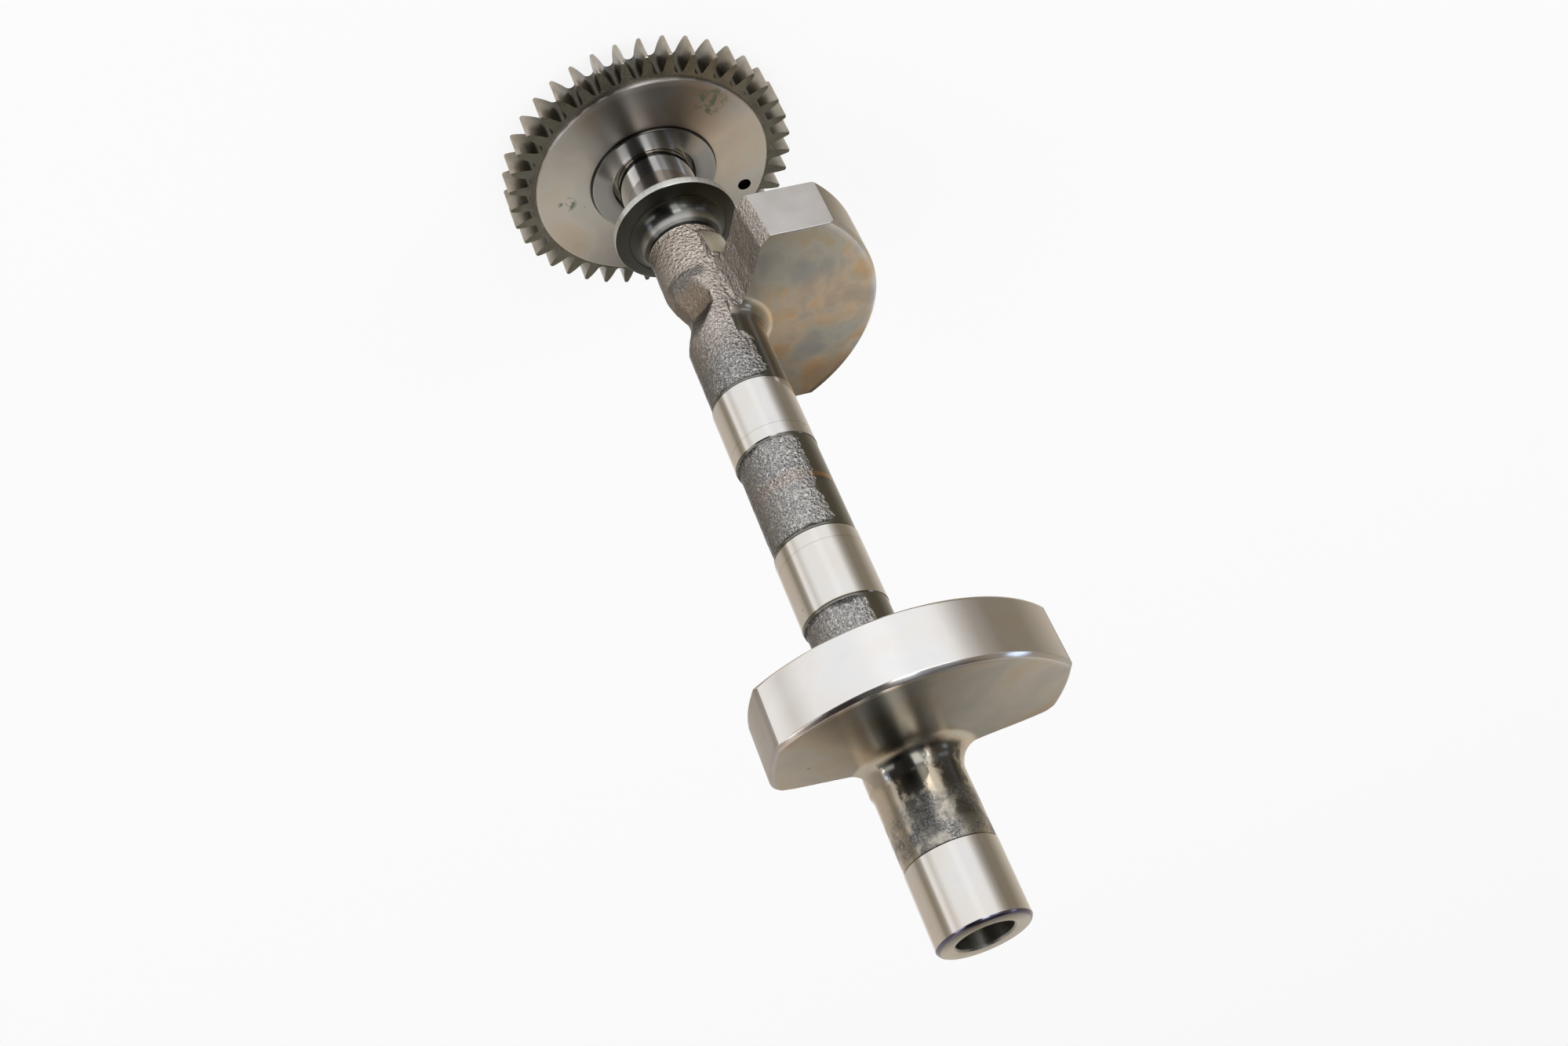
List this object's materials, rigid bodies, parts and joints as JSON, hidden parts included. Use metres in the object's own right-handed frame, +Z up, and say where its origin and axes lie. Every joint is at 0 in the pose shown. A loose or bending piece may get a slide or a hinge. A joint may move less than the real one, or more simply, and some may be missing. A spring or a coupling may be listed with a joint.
{
  "type": "balance shaft",
  "caption": "Forged and ground balance shaft with two counterweights a quarter turn apart and a spur gear pressed on one end.",
  "frame": {"origin": "centre of the shaft's foot, where the gear's rear face and the flange's rear face lie in one plane", "axes": "+Z up the shaft's axis from the gear to the bored end; +X towards the lower counterweight; +Y towards the upper one"},
  "size_m": [0.1039, 0.1031, 0.2965],
  "materials": {
    "shaft_steel": "ground and turned faces, forged skin between them",
    "gear_steel": "turned web and cut teeth, lightly tinted"
  },
  "bodies": {
    "root": {"balance_shaft": "shaft_steel", "drive_gear": "gear_steel"}
  },
  "joints": []
}
